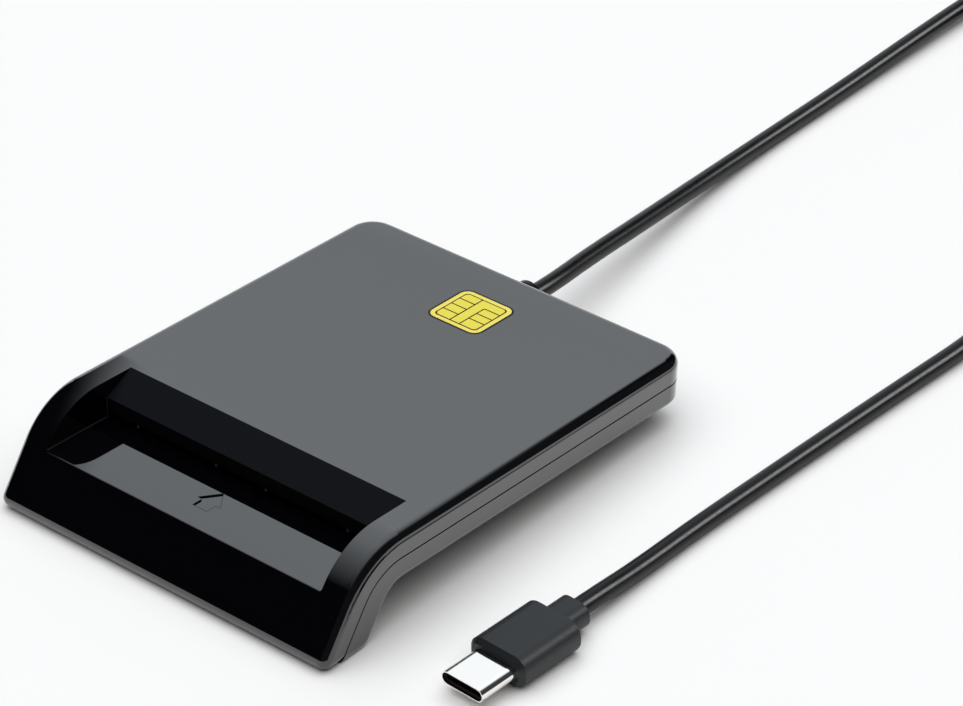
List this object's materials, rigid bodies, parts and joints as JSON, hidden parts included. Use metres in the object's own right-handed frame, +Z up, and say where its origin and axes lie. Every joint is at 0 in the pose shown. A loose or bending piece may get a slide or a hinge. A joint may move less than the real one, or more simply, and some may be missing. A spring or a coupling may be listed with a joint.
{
  "type": "smart card reader",
  "caption": "Low desktop reader with a sloped front foot, a card mouth cut into its bend, a chip symbol on top and a cord with a small plug.",
  "frame": {"origin": "on the desk, under the middle of the reader without its cord", "axes": "+Z up, +Y from the card mouth to the cord, +X to the right seen from the mouth"},
  "size_m": [0.095, 0.2741, 0.0161],
  "materials": {
    "black_gloss_plastic": "polished, moulded",
    "black_rubber": "matte",
    "black_soft_plastic": "smooth, slightly shiny",
    "grey_satin_plastic": "satin, moulded",
    "tie_plastic": "smooth",
    "bright_nickel": "bright plated",
    "zinc_steel": "zinc plated",
    "gold_plate": "gold plated",
    "black_insulator": "moulded",
    "green_board": "solder mask",
    "tan_ceramic": "sintered",
    "wire_jacket": "smooth"
  },
  "bodies": {
    "root": {"upper_shell": "black_gloss_plastic", "lower_shell": "black_gloss_plastic", "card_tray": "black_gloss_plastic", "rear_feet": "black_rubber", "strain_relief": "black_soft_plastic", "cable_reader_side": "black_soft_plastic", "cable_coil": "black_soft_plastic", "cable_plug_side": "black_soft_plastic", "plug_overmould": "grey_satin_plastic", "coil_tie": "tie_plastic", "plug_shell": "bright_nickel", "crystal": "bright_nickel", "housing_screws": "zinc_steel", "board_screws": "zinc_steel", "contact_springs": "gold_plate", "switch_blade": "gold_plate", "plug_contacts": "gold_plate", "contact_block": "black_insulator", "controller_chip": "black_insulator", "card_switch": "black_insulator", "plug_insulator": "black_insulator", "circuit_board": "green_board", "chip_capacitors": "tan_ceramic", "cord_wires": "wire_jacket"}
  },
  "joints": []
}
